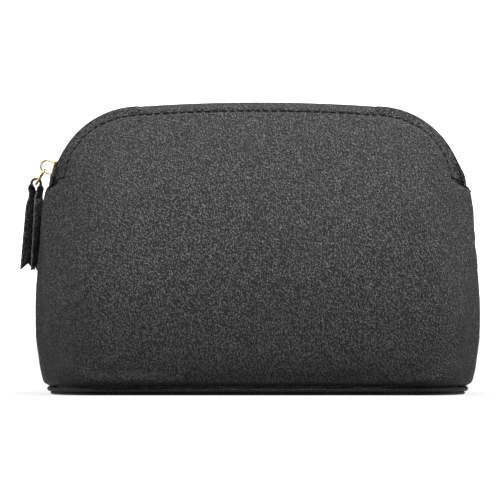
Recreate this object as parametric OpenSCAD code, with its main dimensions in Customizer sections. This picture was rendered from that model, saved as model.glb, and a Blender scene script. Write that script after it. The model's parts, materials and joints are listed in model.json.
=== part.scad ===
// Makeup bag: a padded leather pouch with an arched top, a flat oval base and a
// metal zip that runs over the arch from side to side.
// Origin: centre of the underside of the base. +X to the right, front faces -Y, +Z up.

/* [Bag] */
// Height of the bag from its base to the top of the arch
bag_h = 147; // [144:1:150]
// Width of the base at its seam
base_w = 212; // [208:1:214]
// Depth of the base at its seam, front to back
base_d = 70; // [64:1:78]
// Corner radius of the base, seen from above
corner_r = 26; // [20:1:28]
// Height of the seam between the base and the body panels
seam_z = 4.2; // [3.6:0.2:5]
// How far the body swells out just above the base seam
base_roll = 3.4; // [2:0.2:5]
// Extra swell of the body at half height
belly = 2.4; // [1:0.2:4]

/* [Arch] */
// Radius of the two rounded shoulders
shoulder_r = 43.8; // [42:0.2:45]
// Distance of each shoulder's centre from the middle of the bag
shoulder_x = 60; // [58:1:62]
// Height of each shoulder's centre
shoulder_z = 101; // [100:1:102]
// Height of both zip ends
zip_end_z = 104; // [103.5:0.5:105]
// Half of the gap between the two leather edges along the zip
edge_gap = 5; // [4.8:0.2:6]

/* [Layers] */
// Thickness of the outer leather
leather_t = 1.2; // [1:0.1:1.3]
// Thickness of the foam padding
foam_t = 1.5; // [1:0.1:1.8]
// Thickness of the lining, the pocket and the seam bindings
lining_t = 0.5; // [0.4:0.1:0.6]
// Gap left between two layers
layer_gap = 0.15; // [0.15:0.05:0.25]

/* [Zip] */
// Distance from one tooth to the next on the same side
tooth_pitch = 2.6; // [2.4:0.1:3]
// Length of a tooth along the zip
tooth_len = 1.05; // [0.9:0.05:1.1]
// Height of a tooth
tooth_h = 2.2; // [2:0.1:2.3]
// Length of the slider along the zip
slider_len = 9.6; // [9:0.2:10.4]
// Width of the slider across the zip
slider_w = 7.8; // [7.8:0.1:8.2]
// Angle of the parked slider above the shoulder's centre, in degrees
slider_rest = 15.5; // [15.5:0.5:17]

/* [Pull] */
// Wire diameter of the ring
ring_wire = 1.2; // [1:0.1:1.3]
// Radius of the ring to the middle of its wire
ring_r = 4.3; // [4.3:0.1:4.6]
// Lean of the hanging ring away from the bag, in degrees
ring_lean = 30.8; // [29:0.2:34]
// Lean of the hanging strap away from the bag, in degrees
strap_lean = 4.2; // [4:0.2:6]
// Width of the strap
strap_w = 9; // [8:0.5:10]
// Thickness of the strap's leather
strap_t = 1.3; // [1:0.1:1.4]
// Length of the strap below the ring's wire
strap_l = 43.4; // [38:0.2:46]
// Depth of the swallowtail notch in each end of the strap
notch_d = 3.5; // [2:0.5:5]

/* [Hidden] */
$fn = 32;

// ---- Arch: a wide crown arc that runs tangent into two shoulder arcs ----
arch_q = bag_h - shoulder_z;
crown_r = (shoulder_x * shoulder_x + arch_q * arch_q - shoulder_r * shoulder_r)
    / (2 * (arch_q - shoulder_r));
crown_angle = asin(shoulder_x / (crown_r - shoulder_r));
end_angle = 90 - asin((zip_end_z - shoulder_z) / shoulder_r);
crown_len = crown_r * crown_angle * PI / 180;
shoulder_len = shoulder_r * (end_angle - crown_angle) * PI / 180;
arch_len = crown_len + shoulder_len;

// Point and tilt of the arch at arc length s from the middle: [x, z, tilt in degrees].
function arch_at(s) = abs(s) <= crown_len
    ? let (a = s / crown_r * 180 / PI)
        [crown_r * sin(a), bag_h - crown_r * (1 - cos(a)), a]
    : let (a = crown_angle + (abs(s) - crown_len) / shoulder_r * 180 / PI)
        [sign(s) * (shoulder_x + shoulder_r * sin(a)), shoulder_z + shoulder_r * cos(a), sign(s) * a];

// Arc length of the arch at a given angle above the left shoulder's centre.
function left_s(angle) = -(crown_len + (90 - angle - crown_angle) * shoulder_r * PI / 180);

// ---- Body surface: u runs from the left side seam (-1) to the right one (1), ----
// ---- t runs from the base seam (0) up to the leather edge along the zip (1).   ----
// Share of u taken by the flat front between the two corners
flat_share = 0.5;
corner_len = corner_r * PI / 2 + base_d / 2 - corner_r;

function arch_s(u) = abs(u) <= flat_share
    ? u / flat_share * crown_len
    : sign(u) * (crown_len + (abs(u) - flat_share) / (1 - flat_share) * shoulder_len);

// Base outline at u: [x, y, outward x, outward y].
function base_at(u) =
    let (
        flat_x = base_w / 2 - corner_r,
        along = (abs(u) - flat_share) / (1 - flat_share) * corner_len,
        a = along / corner_r * 180 / PI,
        side = along - corner_r * PI / 2,
        sx = sign(u)
    )
    abs(u) <= flat_share ? [u / flat_share * flat_x, -base_d / 2, 0, -1]
    : a <= 90 ? [
        sx * (flat_x + corner_r * sin(a)), corner_r - base_d / 2 - corner_r * cos(a),
        sx * sin(a), -cos(a)]
    : [sx * base_w / 2, corner_r - base_d / 2 + side, sx, 0];

// Power that makes the body lean in slowly at first and faster near the top
lean_power = 1.7;
// Power that turns the swollen body back in to the leather edge
edge_power = 18;
// Height over which the body rolls out above the base seam
roll_h = 4.5;
// Half of the opening left between the panels at each zip end
end_gap = 4.6;
// Power that spreads the side seam to that opening
spread_power = 16;

function body_at(u, t) =
    let (
        base = base_at(u),
        arch = arch_at(arch_s(u)),
        lean = pow(t, lean_power),
        z = seam_z + (arch[1] - seam_z) * t,
        near_end = pow(abs(u), spread_power),
        swell = base_roll * (1 - exp(-(z - seam_z) / roll_h)) * (1 - pow(t, edge_power * (1 + near_end)))
            + belly * sin(180 * t),
        edge_y = -(edge_gap * (1 - near_end) + end_gap * near_end),
        flat_y = (1 - lean) * base[1] + (lean - pow(t, spread_power)) * edge_y * (1 - near_end)
            + pow(t, spread_power) * edge_y
    )
    [(1 - lean) * base[0] + lean * arch[0] + swell * base[2], flat_y + swell * base[3], z];

function unit(v) = v / norm(v);
function smooth(f) = let (c = min(1, max(0, f))) c * c * (3 - 2 * c);
// Step used to find the surface's slope
slope_step = 0.004;
function surface_normal(u, t) =
    let (
        across = body_at(min(u + slope_step, 1), t) - body_at(max(u - slope_step, -1), t),
        up = body_at(u, min(t + slope_step, 1)) - body_at(u, max(t - slope_step, 0))
    )
    unit(cross(across, up));

// Half of the gap between front and back layers at the side seams
seam_gap = 0.1;
// Point at a depth below the outer surface, kept on its own side of the side seam.
function layer_point(u, t, depth) =
    let (p = body_at(u, t) - depth * surface_normal(u, t))
    [p.x, min(p.y, -seam_gap), p.z];

// All layers share these rows and columns, so that their facets lie parallel.
// The rows close up where the surface turns fastest.
rows_t = [0, 0.03, 0.12, 0.25, 0.42, 0.6, 0.76, 0.88, 0.935, 0.975, 1];
first_padded = 1;
last_padded = 8;
flat_cols = 6;
corner_cols = 8;

// Columns from side to side: the flat front, and n columns round each corner.
function columns(n) = concat(
    [for (i = [0 : n - 1]) -1 + (1 - flat_share) * i / n],
    [for (i = [0 : flat_cols]) flat_share * (2 * i / flat_cols - 1)],
    [for (i = [1 : n]) flat_share + (1 - flat_share) * i / n]
);

function slice(list, first, last) = [for (i = [first : last]) list[i]];

// ---- Closed slab between an outer and an inner grid of points ----
module slab(outer, inner) {
    rows = len(outer);
    cols = len(outer[0]);
    n = rows * cols;
    function at(i, j) = i * cols + j;
    faces = [
        for (i = [0 : rows - 2], j = [0 : cols - 2]) each [
            [at(i, j), at(i + 1, j), at(i + 1, j + 1)],
            [at(i, j), at(i + 1, j + 1), at(i, j + 1)],
            [n + at(i, j), n + at(i + 1, j + 1), n + at(i + 1, j)],
            [n + at(i, j), n + at(i, j + 1), n + at(i + 1, j + 1)]
        ],
        for (j = [0 : cols - 2]) each [
            [at(0, j), at(0, j + 1), n + at(0, j + 1)],
            [at(0, j), n + at(0, j + 1), n + at(0, j)],
            [at(rows - 1, j + 1), at(rows - 1, j), n + at(rows - 1, j)],
            [at(rows - 1, j + 1), n + at(rows - 1, j), n + at(rows - 1, j + 1)]
        ],
        for (i = [0 : rows - 2]) each [
            [at(i + 1, 0), at(i, 0), n + at(i, 0)],
            [at(i + 1, 0), n + at(i, 0), n + at(i + 1, 0)],
            [at(i, cols - 1), at(i + 1, cols - 1), n + at(i + 1, cols - 1)],
            [at(i, cols - 1), n + at(i + 1, cols - 1), n + at(i, cols - 1)]
        ]
    ];
    polyhedron([for (row = outer) each row, for (row = inner) each row], faces);
}

// Near the side seams, beyond end_zone, an inner layer stops lower to clear the zip ends.
end_zone = 0.85;
end_top = 0.88;

// A sheet that follows the body between two depths, over the given columns and rows.
module body_layer(depth, thick, cols_u, first, last) {
    function capped(u, t) = depth > 0 && abs(u) > end_zone ? min(t, end_top) : t;
    function grid(d) = [
        for (t = slice(rows_t, first, last)) [for (u = cols_u) layer_point(u, capped(u, t), d)]
    ];
    slab(grid(depth), grid(depth + thick));
}

foam_depth = leather_t + layer_gap;
lining_depth = foam_depth + foam_t + layer_gap;
inside_depth = lining_depth + lining_t + layer_gap;
all_cols = columns(corner_cols);

module front_panel() {
    color("#2b2b2e") body_layer(0, leather_t, all_cols, 0, len(rows_t) - 1);
}

module back_panel() {
    mirror([0, 1, 0]) front_panel();
}

module front_foam() {
    color("gainsboro") body_layer(foam_depth, foam_t, all_cols, first_padded, last_padded);
}

module back_foam() {
    mirror([0, 1, 0]) front_foam();
}

module front_lining() {
    color("dimgray") body_layer(lining_depth, lining_t, all_cols, first_padded, last_padded);
}

module back_lining() {
    mirror([0, 1, 0]) front_lining();
}

// The pocket leaves out this many columns at each side, and lies between these rows
pocket_margin = corner_cols + 1;
pocket_low = 2;
pocket_high = 5;

module slip_pocket() {
    color("slategray") mirror([0, 1, 0]) body_layer(
        inside_depth, lining_t, slice(all_cols, pocket_margin, len(all_cols) - 1 - pocket_margin),
        pocket_low, pocket_high);
}

// ---- Side seam bindings: a tape folded over the inside of each side seam ----
last_bound = 7;

module side_binding_right() {
    // From the front edge of the binding over the seam to its back edge
    edge_u = all_cols[len(all_cols) - 2];
    function across(v, t, d) =
        let (p = layer_point(v == 0 ? 1 : edge_u, t, d))
        [p.x, v * -p.y, p.z];
    function grid(d) = [
        for (t = slice(rows_t, first_padded, last_bound)) [for (v = [-1, 0, 1]) across(v, t, d)]
    ];
    color("slategray") slab(grid(inside_depth), grid(inside_depth + lining_t));
}

module side_binding_left() {
    mirror([1, 0, 0]) side_binding_right();
}

// ---- Base ----
module oval(inset) {
    r = corner_r - inset;
    x = base_w / 2 - corner_r;
    y = base_d / 2 - corner_r;
    union() {
        square([2 * x, 2 * (y + r)], center = true);
        square([2 * (x + r), 2 * y], center = true);
        for (sx = [-1, 1], sy = [-1, 1]) translate([sx * x, sy * y]) circle(r, $fn = 64);
    }
}

// Carries a section round the base outline; the section's x is measured from the seam outwards.
module round_base() {
    x = base_w / 2 - corner_r;
    y = base_d / 2 - corner_r;
    for (turn = [0, 180]) rotate([0, 0, turn]) {
        translate([-x, -y - corner_r, 0]) rotate([90, 0, 90]) linear_extrude(2 * x) mirror([1, 0]) children();
        translate([x + corner_r, -y, 0]) rotate([90, 0, 180]) linear_extrude(2 * y) mirror([1, 0]) children();
        for (sy = [-1, 1]) translate([x, sy * y, 0]) rotate([0, 0, sy > 0 ? 0 : -90])
            rotate_extrude(angle = 90, $fn = 64) translate([corner_r, 0]) children();
    }
}

base_t = 1.6;
board_t = 1.4;
// How far the base panel, the board and the base lining stay inside the seam
panel_inset = 1.6;
board_inset = 4.6;
base_lining_inset = 5.4;
welt_r = 1.1;
welt_z = base_t + 0.1 + welt_r;

module base_panel() {
    color("#242427") linear_extrude(base_t) oval(panel_inset);
}

module base_welt() {
    flange_l = 2.2;
    flange_t = 0.8;
    color("#303034") round_base() {
        translate([-welt_r, welt_z]) circle(welt_r, $fn = 32);
        translate([-welt_r - flange_l, welt_z - flange_t / 2]) square([flange_l, flange_t]);
    }
}

module base_board() {
    color("tan") translate([0, 0, base_t + 0.1]) linear_extrude(board_t) oval(board_inset);
}

module base_lining() {
    color("dimgray") translate([0, 0, base_t + board_t + 0.3]) linear_extrude(lining_t) oval(base_lining_inset);
}

// ---- Zip ----
// Heights are measured from the leather edge along the arch, outwards positive.
tooth_top = -0.2;
tooth_mid = tooth_top - tooth_h / 2;
// Reach of a tooth from the middle of the zip: its head and its heel
head_y = 0.35;
heel_y = 2.9;
tape_t = 0.5;
// Gap between the leather and the sewn edge of the tape
sewn_gap = 0.45;
// Beyond this share of u the sewn edge turns straight down beside the teeth
turn_down_u = 0.78;
turn_down_y = 4.2;
tape_end_u = 0.975;
tape_cols = 16;
// Arc lengths that the teeth run between, just past the parked slider and the bottom stop
teeth_start = left_s(slider_rest - 6);
teeth_end = arch_len - 3.6;

// Places its children at arc length s along the zip: x along it, z outwards.
module on_zip(s) {
    a = arch_at(s);
    translate([a[0], 0, a[1]]) rotate([0, a[2], 0]) children();
}

module front_zip_tape() {
    // Rows across the tape, from the sewn edge to the teeth: under the leather, then free.
    function edge_point(u, y, n) =
        let (a = arch_at(arch_s(u)))
        [a[0] + n * sin(a[2]), -y, a[1] + n * cos(a[2])];
    function sewn_point(k, u, n) =
        let (w = smooth((abs(u) - turn_down_u) / 0.1))
        (1 - w) * layer_point(u, 0.95 + 0.025 * k, leather_t + sewn_gap + tape_t / 2 - n)
            + w * edge_point(u, turn_down_y + n, tooth_mid - 2.6 + k);
    function row(k, u, n) =
        k < 2 ? sewn_point(k, u, n)
        : k == 2 ? edge_point(u, edge_gap - 0.8, tooth_mid - 0.2 + n)
        : edge_point(u, heel_y + 0.1, tooth_mid + n);
    tape_u = [for (u = columns(tape_cols)) min(tape_end_u, max(-tape_end_u, u))];
    function grid(n) = [for (k = [0 : 3]) [for (u = tape_u) row(k, u, n)]];
    color("#1c1c1e") slab(grid(tape_t / 2), grid(-tape_t / 2));
}

module back_zip_tape() {
    mirror([0, 1, 0]) front_zip_tape();
}

module tooth() {
    translate([-tooth_len / 2, -heel_y, tooth_mid - tooth_h / 2]) cube([tooth_len, heel_y - head_y, tooth_h]);
}

module front_zip_teeth() {
    color("goldenrod") for (s = [teeth_start : tooth_pitch : teeth_end]) on_zip(s) tooth();
}

module back_zip_teeth() {
    color("goldenrod") for (s = [teeth_start + tooth_pitch / 2 : tooth_pitch : teeth_end])
        on_zip(s) mirror([0, 1, 0]) tooth();
}

stop_len = 1.6;

// Two small clamps that the closed slider rests against.
module zip_top_stops() {
    color("goldenrod") for (side = [0, 1]) on_zip(teeth_start - stop_len) mirror([0, side, 0])
        translate([-stop_len / 2, -heel_y, tooth_mid - 0.9]) cube([stop_len, heel_y - head_y, 1.8]);
}

// One clamp across both tapes at the far end.
module zip_bottom_stop() {
    color("goldenrod") on_zip(teeth_end + 1.9)
        translate([-stop_len / 2, -heel_y, tooth_mid - 1]) cube([stop_len, 2 * heel_y, 2]);
}

// ---- Zip end tabs: a folded leather tab that covers each end of the zip ----
tab_half = 1.8;
tab_t = 1.4;
tab_low = 0.1;

// The tab runs up from the side seam to top_angle along the zip's arc; a tip can stand out of the seam.
module end_tab(tip) {
    top_angle = 8.4;
    function arc(n, from, to) = [
        for (i = [0 : 4]) let (a = from + (to - from) * i / 4) [(shoulder_r + n) * cos(a), (shoulder_r + n) * sin(a)]
    ];
    shape = concat(
        arc(tab_low, -2.5, top_angle),
        arc(tab_low + tab_t, top_angle, 3),
        [[shoulder_r + tab_low + tab_t + tip, 1.3]],
        [[shoulder_r + tab_low + tab_t + tip / 4, -1.7]]
    );
    color("#2b2b2e") translate([shoulder_x, 0, shoulder_z]) rotate([90, 0, 0])
        linear_extrude(2 * tab_half, center = true) polygon(shape);
}

module zip_end_tab_right() {
    end_tab(2.6);
}

module zip_end_tab_left() {
    mirror([1, 0, 0]) end_tab(0);
}

// ---- Slider: every surface along the zip is an arc about the shoulder's centre ----
slider_half = slider_len / 2 / shoulder_r * 180 / PI;
plate_t = 1.1;
plate_low = 0.2;
flange_w = 0.8;
slider_s = left_s(slider_rest);
plate_top = plate_low + plate_t;
under_top = tooth_mid - tooth_h / 2 - 0.3;

// Sweeps a section about the shoulder's centre; the section's x is the height above the leather edge.
module arc_sweep(from, to) {
    translate([0, 0, -shoulder_r]) rotate([90, 0, 0]) rotate([0, 0, 90 - to])
        rotate_extrude(angle = to - from, $fn = 256) translate([shoulder_r, 0]) children();
}

module slider_body() {
    slot_top = tooth_mid + 0.6;
    slot_low = tooth_mid - 0.6;
    half = slider_w / 2;
    post_len = 2.6;
    color("goldenrod") on_zip(slider_s) {
        intersection() {
            arc_sweep(-slider_half, slider_half) {
                translate([plate_low, -half]) square([plate_t, slider_w]);
                translate([under_top - plate_t, -half]) square([plate_t, slider_w]);
                for (side = [0, 1]) mirror([0, side]) {
                    translate([slot_top, half - flange_w]) square([plate_top - slot_top, flange_w]);
                    translate([under_top - plate_t, half - flange_w])
                        square([slot_low - under_top + plate_t, flange_w]);
                }
            }
            translate([0, 0, -10]) linear_extrude(20) hull() for (x = [-1, 1], y = [-1, 1])
                translate([x * (slider_len / 2 - 1.6), y * (half - 1.6)]) circle(1.6, $fn = 48);
        }
        arc_sweep(-slider_half + 0.2, -slider_half + 0.2 + post_len / shoulder_r * 180 / PI)
            translate([under_top - 0.01, -0.25]) square([plate_low - under_top + 0.02, 0.5]);
    }
}

// ---- Bail: the wire loop on the slider that holds the ring ----
bail_wire = 0.95;
bail_half = 3.1;
bail_leg = 3.3;
// The loop sits this far towards the crown from the middle of the slider
bail_shift = 0.65;

module slider_bail() {
    color("gold") on_zip(slider_s) translate([bail_shift, 0, plate_top]) {
        for (x = [-bail_half, bail_half]) translate([x, 0, 0]) cylinder(d = bail_wire, h = bail_leg);
        translate([0, 0, bail_leg]) rotate([90, 0, 0])
            rotate_extrude(angle = 180, $fn = 64) translate([bail_half, 0]) circle(d = bail_wire);
    }
}

// ---- Ring and strap ----
// Where the ring's wire passes through the bail, along and above the zip
hook_along = -1.1;
hook_up = 5.2;
slider_tilt = 90 - slider_rest;
arc_x = -shoulder_x;
hook_x = arc_x - (shoulder_r + hook_up) * sin(slider_tilt) + hook_along * cos(slider_tilt);
hook_z = shoulder_z + (shoulder_r + hook_up) * cos(slider_tilt) + hook_along * sin(slider_tilt);
// Where the strap hangs on the ring
hang_x = hook_x - 2 * ring_r * sin(ring_lean);
hang_z = hook_z - 2 * ring_r * cos(ring_lean);

module jump_ring() {
    color("gold") translate([hook_x, 0, hook_z]) rotate([0, ring_lean, 0]) translate([0, 0, -ring_r])
        rotate([0, 90, 0]) rotate_extrude($fn = 64) translate([ring_r, 0]) circle(d = ring_wire, $fn = 24);
}

// Half of the space between the strap's two leaves
leaf_gap = 1.7;
// Width of the strap where it passes through the ring, and where it has widened out
neck_w = 5.4;
neck_end = 3;
wide_start = 12;
// Height of the fold's centre above the ring's wire
fold_z = 0.4;
leaf_x = leaf_gap + strap_t / 2;
// Turn of the outer and the inner leaf about the strap's length, in degrees
outer_turn = 30;
inner_turn = 8;

function strap_half(z) = (neck_w + (strap_w - neck_w) * smooth((-z - neck_end) / (wide_start - neck_end))) / 2;
function leaf_turn(z, turn) = turn * smooth((-z - neck_end) / (2 * wide_start));

// Middle line of the strap: [x, z, direction of its outer face in degrees from +X]
leaf_rows = 8;
fold_rows = 8;
strap_path = concat(
    [for (i = [0 : leaf_rows - 1]) [-leaf_x, -strap_l + (strap_l + fold_z) * i / leaf_rows, 180]],
    [for (i = [0 : fold_rows]) let (a = 180 - 180 * i / fold_rows) [leaf_x * cos(a), fold_z + leaf_x * sin(a), a]],
    [for (i = [leaf_rows - 1 : -1 : 0]) [leaf_x, -strap_l + (strap_l + fold_z) * i / leaf_rows, 0]]
);

// c runs across the strap from 1 to -1, d is the distance from its middle towards its outer face.
function strap_point(p, c, d) =
    let (
        turn = leaf_turn(p[1], p[0] < 0 ? outer_turn : inner_turn),
        end = p[1] <= -strap_l ? notch_d * (1 - abs(c)) : 0,
        y = c * strap_half(p[1]),
        out = d * cos(p[2])
    )
    [p[0] + out * cos(turn) + y * sin(turn), y * cos(turn) - out * sin(turn), p[1] + d * sin(p[2]) + end];

module on_strap() {
    translate([hang_x, 0, hang_z]) rotate([0, strap_lean, 0]) children();
}

module pull_strap() {
    cols = 4;
    function grid(d) = [for (p = strap_path) [for (j = [0 : cols]) strap_point(p, 1 - 2 * j / cols, d)]];
    color("#232326") on_strap() slab(grid(strap_t / 2), grid(-strap_t / 2));
}

// Two stitches that hold the strap's leaves together below the ring.
module pull_stitches() {
    stitch_z = -6;
    color("black") on_strap() for (y = [-1.6, 1.6]) translate([-leaf_x - strap_t, y, stitch_z])
        rotate([0, 90, 0]) cylinder(d = 0.7, h = 2 * (leaf_x + strap_t));
}

front_panel();
back_panel();
front_foam();
back_foam();
front_lining();
back_lining();
base_panel();
base_welt();
base_board();
base_lining();
slip_pocket();
side_binding_left();
side_binding_right();
zip_end_tab_left();
zip_end_tab_right();
front_zip_tape();
back_zip_tape();
front_zip_teeth();
back_zip_teeth();
zip_top_stops();
zip_bottom_stop();
slider_body();
slider_bail();
jump_ring();
pull_strap();
pull_stitches();
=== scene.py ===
"""Looks of the makeup bag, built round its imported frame. Lengths are in millimetres until a mesh is made."""
import json
import math

import bpy
import numpy as np
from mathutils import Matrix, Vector


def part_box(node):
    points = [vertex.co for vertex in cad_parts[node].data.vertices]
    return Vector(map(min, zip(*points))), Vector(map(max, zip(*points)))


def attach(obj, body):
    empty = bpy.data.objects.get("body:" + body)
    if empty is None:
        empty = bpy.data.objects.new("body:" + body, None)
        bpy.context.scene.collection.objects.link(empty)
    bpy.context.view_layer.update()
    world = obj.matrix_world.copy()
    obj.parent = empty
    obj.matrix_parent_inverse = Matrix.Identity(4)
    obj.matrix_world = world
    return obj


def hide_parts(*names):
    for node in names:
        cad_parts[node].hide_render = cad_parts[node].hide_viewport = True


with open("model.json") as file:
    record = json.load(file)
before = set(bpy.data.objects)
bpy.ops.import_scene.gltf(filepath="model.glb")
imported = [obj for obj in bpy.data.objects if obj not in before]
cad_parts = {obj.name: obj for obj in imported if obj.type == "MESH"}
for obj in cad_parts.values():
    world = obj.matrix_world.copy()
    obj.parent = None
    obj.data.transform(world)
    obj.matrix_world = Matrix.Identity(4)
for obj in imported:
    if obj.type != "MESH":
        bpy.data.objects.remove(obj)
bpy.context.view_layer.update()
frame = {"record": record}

MM = 0.001


def box_mm(node):
    """Lowest and highest corner of a CAD node."""
    low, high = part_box(node)
    return np.array(low) / MM, np.array(high) / MM


def joint_place(name):
    joints = frame["record"]["behaviour"]["joints"]
    return np.array(next(j["pos_m"] for j in joints if j["name"] == name)) / MM


# ---------------------------------------------------------------- driving dimensions
BAG_H = box_mm("front_panel")[1][2]
BASE_W = 2 * box_mm("base_welt")[1][0]
BASE_D = 2 * box_mm("base_welt")[1][1]
SEAM_Z = box_mm("front_panel")[0][2]
SHOULDER_X = abs(joint_place("slider_travel")[0])
SHOULDER_Z = joint_place("slider_travel")[2]
SHOULDER_R = 43.8
CORNER_R = 26.0
ZIP_END_RISE = 3.0
EDGE_GAP = 5.0
END_GAP = 4.6
FLAT_SHARE = 0.5
BASE_ROLL = 3.4
ROLL_H = 4.5
BELLY = 2.4
LEAN_POWER = 1.7
EDGE_POWER = 18
SPREAD_POWER = 16
SEAM_GAP = 0.1
# The flat place beside the zip's ends: how far above them it starts, its width, and how fast both fade
FLAT_ABOVE, FLAT_FADE = 0.8, 0.35
FLAT_BAND, FLAT_BAND_FADE = 1.5, 4.0

LEATHER_T = 1.2
FOAM_T = 1.5
LINING_T = 0.5
LAYER_GAP = 0.15
FOAM_DEPTH = LEATHER_T + LAYER_GAP
LINING_DEPTH = FOAM_DEPTH + FOAM_T + LAYER_GAP
INSIDE_DEPTH = LINING_DEPTH + LINING_T + LAYER_GAP

# ---------------------------------------------------------------- arch and body surface
ARCH_RISE = BAG_H - SHOULDER_Z
CROWN_R = (SHOULDER_X ** 2 + ARCH_RISE ** 2 - SHOULDER_R ** 2) / (2 * (ARCH_RISE - SHOULDER_R))
CROWN_ANGLE = math.asin(SHOULDER_X / (CROWN_R - SHOULDER_R))
CROWN_LEN = CROWN_R * CROWN_ANGLE
SHOULDER_LEN = SHOULDER_R * (math.acos(ZIP_END_RISE / SHOULDER_R) - CROWN_ANGLE)
ARCH_LEN = CROWN_LEN + SHOULDER_LEN
CORNER_LEN = CORNER_R * math.pi / 2 + BASE_D / 2 - CORNER_R


def arch_at(s):
    """x, z and tilt of the leather edge's arch at arc length s from its middle."""
    s = np.asarray(s, float)
    side, crown = np.sign(s), s / CROWN_R
    turn = CROWN_ANGLE + (np.abs(s) - CROWN_LEN) / SHOULDER_R
    on_crown = np.abs(s) <= CROWN_LEN
    x = np.where(on_crown, CROWN_R * np.sin(crown), side * (SHOULDER_X + SHOULDER_R * np.sin(turn)))
    z = np.where(on_crown, BAG_H - CROWN_R * (1 - np.cos(crown)), SHOULDER_Z + SHOULDER_R * np.cos(turn))
    return x, z, np.where(on_crown, crown, side * turn)


def zip_point(s, y, n):
    """Point at arc length s along the zip, y across it and n above the leather edge."""
    x, z, tilt = arch_at(s)
    x, y, z = np.broadcast_arrays(x + n * np.sin(tilt), np.asarray(y, float), z + n * np.cos(tilt))
    return np.stack([x, y, z], -1)


def arch_s(u):
    """Arc length at u, which runs from -1 at the left side seam to 1 at the right one."""
    past = (np.abs(u) - FLAT_SHARE) / (1 - FLAT_SHARE)
    return np.where(np.abs(u) <= FLAT_SHARE, u / FLAT_SHARE * CROWN_LEN,
                    np.sign(u) * (CROWN_LEN + past * SHOULDER_LEN))


def base_at(u):
    """Base outline at u: x, y, and its outward direction in x and y."""
    flat_x = BASE_W / 2 - CORNER_R
    along = (np.abs(u) - FLAT_SHARE) / (1 - FLAT_SHARE) * CORNER_LEN
    a = np.clip(along / CORNER_R, 0, math.pi / 2)
    straight = np.maximum(along - CORNER_R * math.pi / 2, 0)
    on_flat = np.abs(u) <= FLAT_SHARE
    x = np.where(on_flat, u / FLAT_SHARE * flat_x, np.sign(u) * (flat_x + CORNER_R * np.sin(a)))
    y = np.where(on_flat, -BASE_D / 2, CORNER_R - BASE_D / 2 - CORNER_R * np.cos(a) + straight)
    return x, y, np.where(on_flat, 0, np.sign(u) * np.sin(a)), np.where(on_flat, -1, -np.cos(a))


def near_zip_end(x, z):
    """1 beside the zip's lower ends, where the panel lies flat over the side's rolled top, 0 elsewhere."""
    above = 1 / (1 + np.exp(-(z - SHOULDER_Z - ZIP_END_RISE - FLAT_ABOVE) / FLAT_FADE))
    inside = SHOULDER_R - np.hypot(np.abs(x) - SHOULDER_X, z - SHOULDER_Z)
    fade = np.exp(-(np.maximum(inside - FLAT_BAND, 0) / FLAT_BAND_FADE) ** 2)
    return above * (np.abs(x) > SHOULDER_X) * fade


def body_at(u, t):
    """Outside of the front half. t runs from 0 at the base seam to 1 at the leather edge along the zip."""
    u, t = np.broadcast_arrays(np.asarray(u, float), np.asarray(t, float))
    base_x, base_y, out_x, out_y = base_at(u)
    arch_x, arch_z, _ = arch_at(arch_s(u))
    lean = t ** LEAN_POWER
    z = SEAM_Z + (arch_z - SEAM_Z) * t
    x = (1 - lean) * base_x + lean * arch_x
    near_end = np.abs(u) ** SPREAD_POWER
    roll = BASE_ROLL * (1 - np.exp(-(z - SEAM_Z) / ROLL_H)) * (1 - t ** (EDGE_POWER * (1 + near_end)))
    swell = (roll + BELLY * np.sin(math.pi * t)) * (1 - near_zip_end(x, z))
    edge_y = -(EDGE_GAP * (1 - near_end) + END_GAP * near_end)
    spread = t ** SPREAD_POWER
    y = (1 - lean) * base_y + (lean - spread) * edge_y * (1 - near_end) + spread * edge_y
    return np.stack([x + swell * out_x, y + swell * out_y, z], -1)


def ease(f):
    """Smooth step from 0 to 1."""
    f = np.clip(f, 0, 1)
    return f * f * (3 - 2 * f)


def unit(v):
    return v / np.maximum(np.linalg.norm(v, axis=-1, keepdims=True), 1e-12)


def body_normal(u, t):
    step = 0.004
    across = body_at(np.minimum(u + step, 1), t) - body_at(np.maximum(u - step, -1), t)
    up = body_at(u, np.minimum(t + step, 1)) - body_at(u, np.maximum(t - step, 0))
    return unit(np.cross(across, up))


# ---------------------------------------------------------------- mesh helpers
def make_object(name, points, faces):
    """Smooth-shaded mesh object from points in millimetres."""
    mesh = bpy.data.meshes.new(name)
    mesh.from_pydata((np.asarray(points, float).reshape(-1, 3) * MM).tolist(), [], faces)
    mesh.update()
    mesh.polygons.foreach_set("use_smooth", [True] * len(mesh.polygons))
    obj = bpy.data.objects.new(name, mesh)
    bpy.context.scene.collection.objects.link(obj)
    return obj


def put_uv(obj, uv):
    """Lengths across and along the piece, in metres, that a weave can follow."""
    layer = obj.data.uv_layers.new(name="along")
    index = np.zeros(len(obj.data.loops), int)
    obj.data.loops.foreach_get("vertex_index", index)
    layer.data.foreach_set("uv", (uv.reshape(-1, 2)[index] * MM).ravel())


def ring_faces(rings, count, start=0, closed=False, capped=True):
    """Faces of a skin over rings of points that lie one after the other."""
    faces = []
    for i in range(rings if closed else rings - 1):
        low, high = start + i * count, start + (i + 1) % rings * count
        faces += [(low + j, low + (j + 1) % count, high + (j + 1) % count, high + j) for j in range(count)]
    if capped and not closed:
        faces.append(tuple(range(start + count - 1, start - 1, -1)))
        faces.append(tuple(start + (rings - 1) * count + j for j in range(count)))
    return faces


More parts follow.
